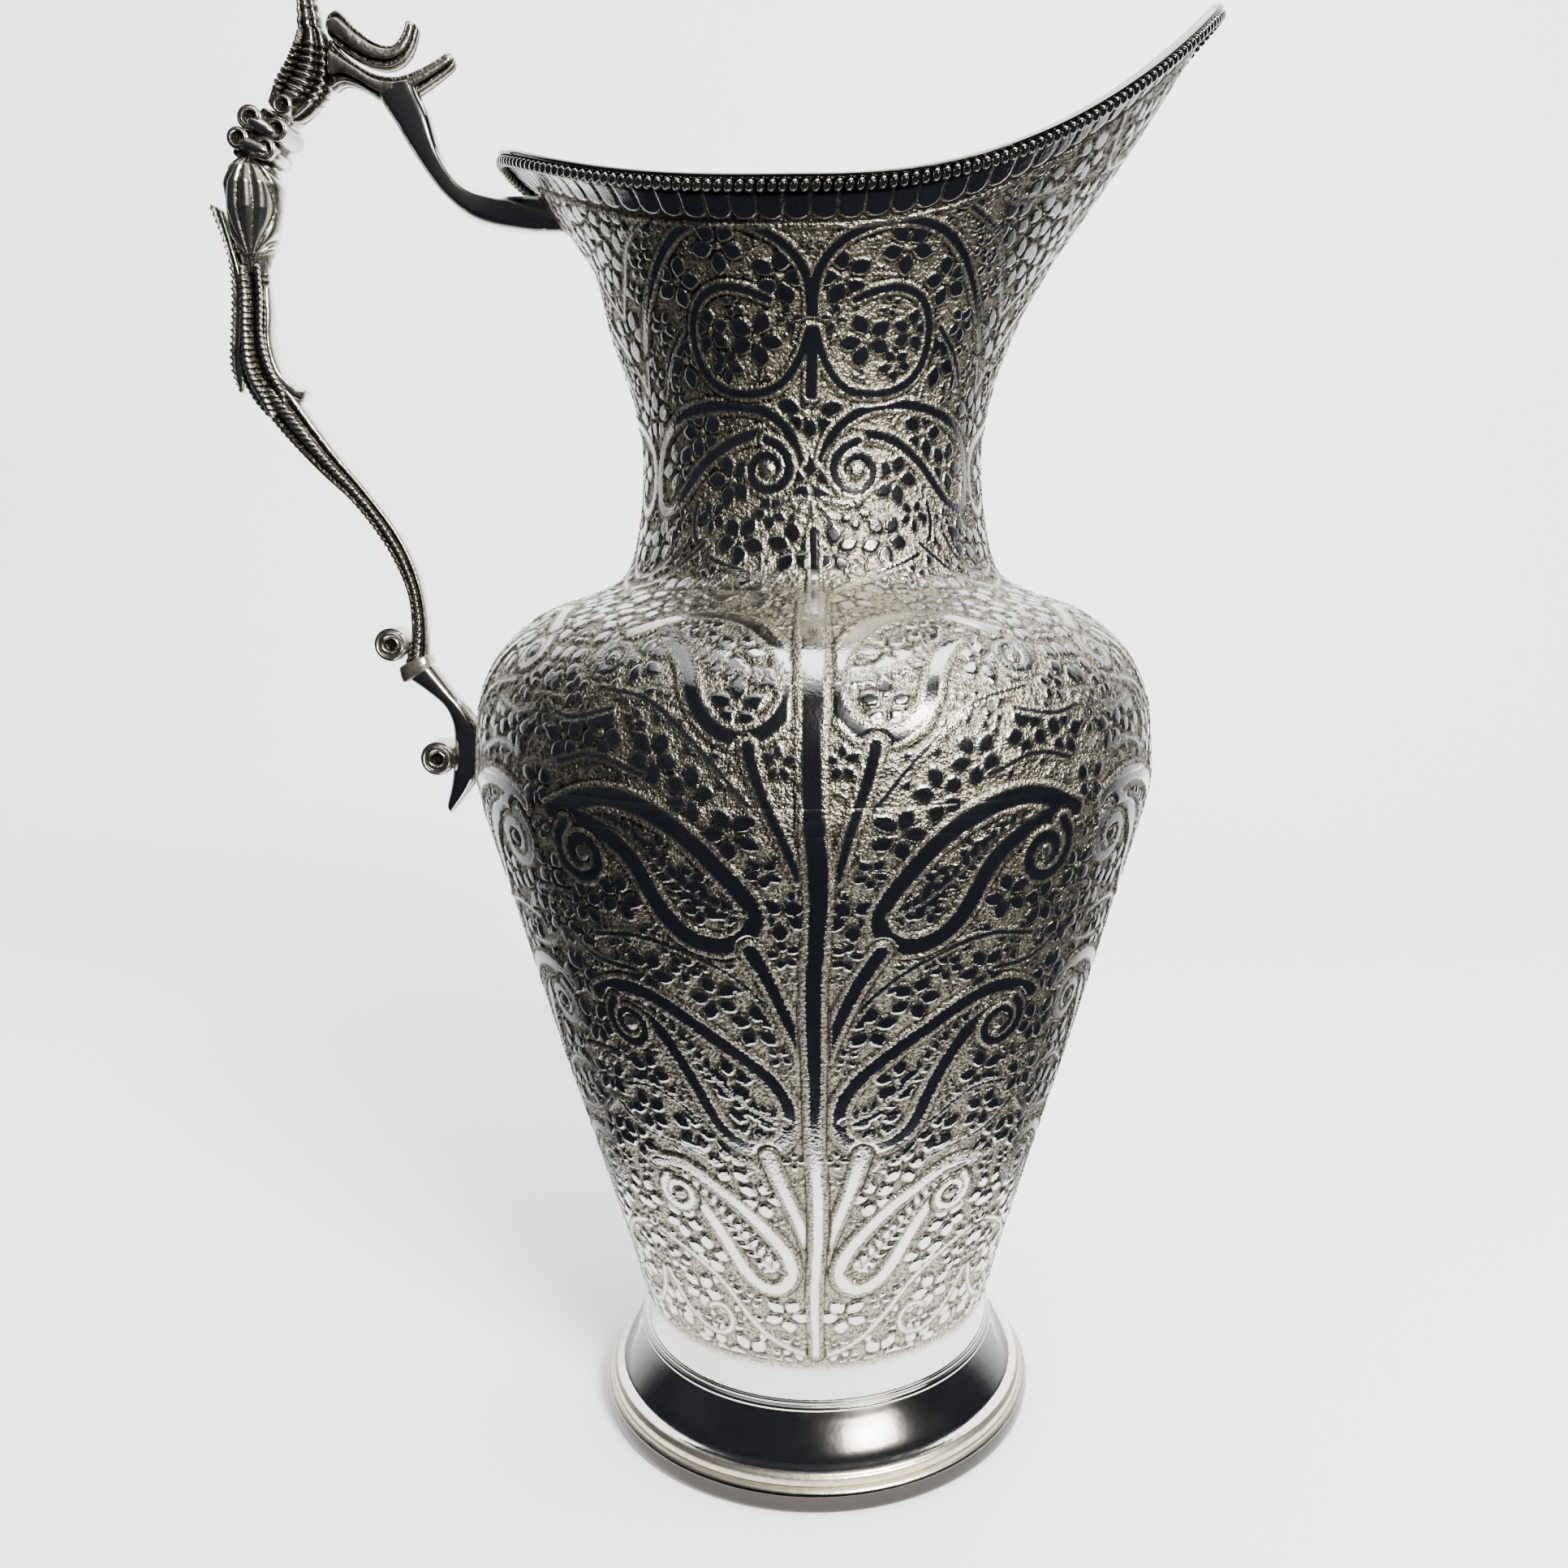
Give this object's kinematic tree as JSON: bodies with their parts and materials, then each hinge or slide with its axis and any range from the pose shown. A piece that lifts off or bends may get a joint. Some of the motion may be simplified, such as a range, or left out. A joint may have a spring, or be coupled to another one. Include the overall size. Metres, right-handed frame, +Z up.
{
  "type": "silver water pitcher",
  "caption": "Footed water pitcher with a round belly, narrow neck, wide oblique mouth rising to a long spout, chased flower ornament, beaded rim and a cast scroll handle.",
  "frame": {"origin": "centre of the circle that the foot stands on, at table height", "axes": "+Z up, +X towards the spout, -X towards the handle, Y across the pitcher"},
  "size_m": [0.209, 0.1448, 0.3185],
  "materials": {
    "chased_silver": "silver-plated brass sheet, chased, with a stippled ground and polished raised work",
    "polished_silver": "silver-plated brass, polished bright",
    "cast_silver": "silver-plated brass casting, darkened in the hollows",
    "solder": "hard solder, plated over, slightly dull"
  },
  "bodies": {
    "root": {"lower_body": "chased_silver", "upper_body": "chased_silver", "belly_hoop": "chased_silver", "rim_beading": "polished_silver", "rolled_rim": "polished_silver", "foot_dome": "polished_silver", "foot_ring": "polished_silver", "foot_solder": "solder", "handle_arm": "polished_silver", "lower_leaf": "cast_silver", "upper_leaf": "cast_silver", "handle_crown": "cast_silver", "handle_finial": "cast_silver", "grip_collar": "cast_silver", "grip_bulb": "cast_silver", "grip_strip": "cast_silver", "grip_lobe": "cast_silver", "handle_stem": "cast_silver", "stem_curl": "cast_silver", "handle_braze": "solder", "lower_bracket": "polished_silver", "bracket_curl": "polished_silver", "upper_solder": "solder", "lower_solder": "solder"}
  },
  "joints": []
}
